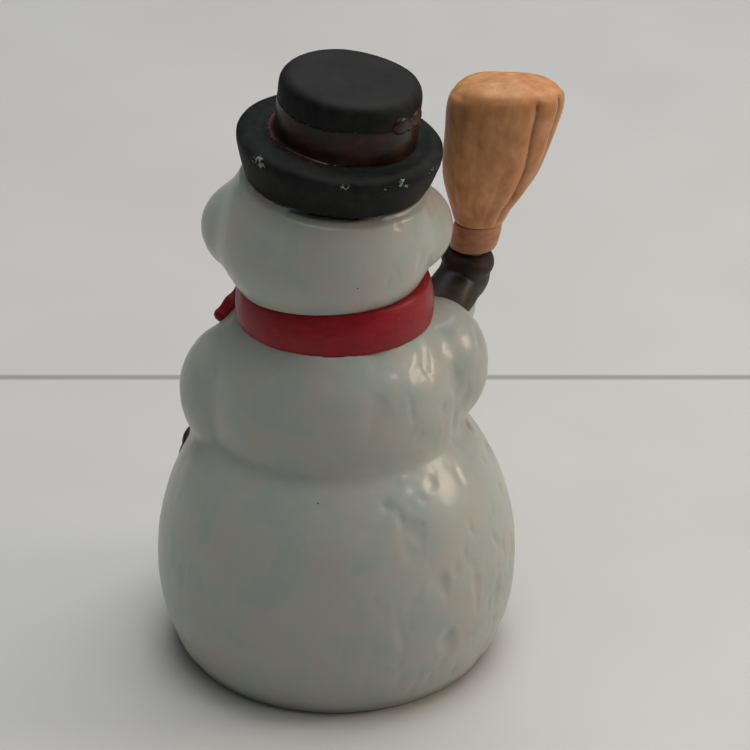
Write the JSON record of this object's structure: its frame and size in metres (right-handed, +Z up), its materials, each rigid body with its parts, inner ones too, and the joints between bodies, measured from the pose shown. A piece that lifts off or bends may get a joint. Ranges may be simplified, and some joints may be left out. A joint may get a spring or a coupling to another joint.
{
  "type": "bubbling ornament",
  "caption": "Hollow painted snowman figure with broom and scarf; air rises inside it from a hose tail in the foot, and the hat is a hinged lid that lets the bubbles out",
  "frame": {"origin": "centre of the foot ring, on the plane it stands on", "axes": "+Z up, the axis of the body; the figure faces -Y, where the air line leaves the foot; its right hand with the broom is at -X"},
  "size_m": [0.0662, 0.0622, 0.1019],
  "materials": {
    "bisque_white": "unglazed satin bisque, hand-rubbed, with faint lumps and pinholes",
    "mitten_brown": "brown-black paint on bisque, satin",
    "scarf_red": "crimson paint on bisque, satin, brushed",
    "broom_stick": "brown paint on bisque, satin",
    "broom_straw": "peach-orange paint on bisque, matt, fluted",
    "coal_black": "black paint on bisque, satin",
    "carrot_orange": "orange paint on bisque, satin",
    "hat_black": "black paint on moulded resin, satin, chipped to a pale grey-green at the brim",
    "band_brown": "dark red-brown paint on moulded resin, satin",
    "liner_plastic": "moulded grey plastic",
    "weight_steel": "stainless strip",
    "bracket_brass": "bent brass, dull",
    "pin_steel": "drawn stainless wire",
    "seal_silicone": "clear-white silicone",
    "stopper_rubber": "black rubber",
    "elbow_plastic": "moulded dark plastic",
    "tube_plastic": "clear-white drawn tube",
    "guide_plastic": "moulded white plastic",
    "stone_grey": "sintered grey-blue grit, porous"
  },
  "bodies": {
    "figure": {"body_casting": "bisque_white", "head_casting": "bisque_white", "left_mitten": "mitten_brown", "right_mitten": "mitten_brown", "scarf_wrap": "scarf_red", "scarf_knot": "scarf_red", "scarf_tail_long": "scarf_red", "scarf_tail_short": "scarf_red", "broom_handle": "broom_stick", "broom_binding": "broom_straw", "broom_bristles": "broom_straw", "eyes": "coal_black", "mouth_coals": "coal_black", "coat_buttons": "coal_black", "carrot_nose": "carrot_orange", "hinge_bracket": "bracket_brass", "hinge_pin": "pin_steel", "seat_ring": "seal_silicone", "base_stopper": "stopper_rubber", "inlet_elbow": "elbow_plastic", "riser_tube": "tube_plastic", "riser_guide": "guide_plastic", "stone_nipple": "elbow_plastic", "air_stone": "stone_grey"},
    "hat": {"hat_shell": "hat_black", "hat_band": "band_brown", "hat_bow": "band_brown", "hat_liner": "liner_plastic", "lid_weight": "weight_steel"}
  },
  "joints": [
    {"name": "hat_tip", "type": "hinge", "parent": "figure", "child": "hat", "pos_m": [-0.00026, 0.01201, 0.08368], "axis": [-0.9936, 0, -0.1132], "range_deg": [0, 18]}
  ]
}
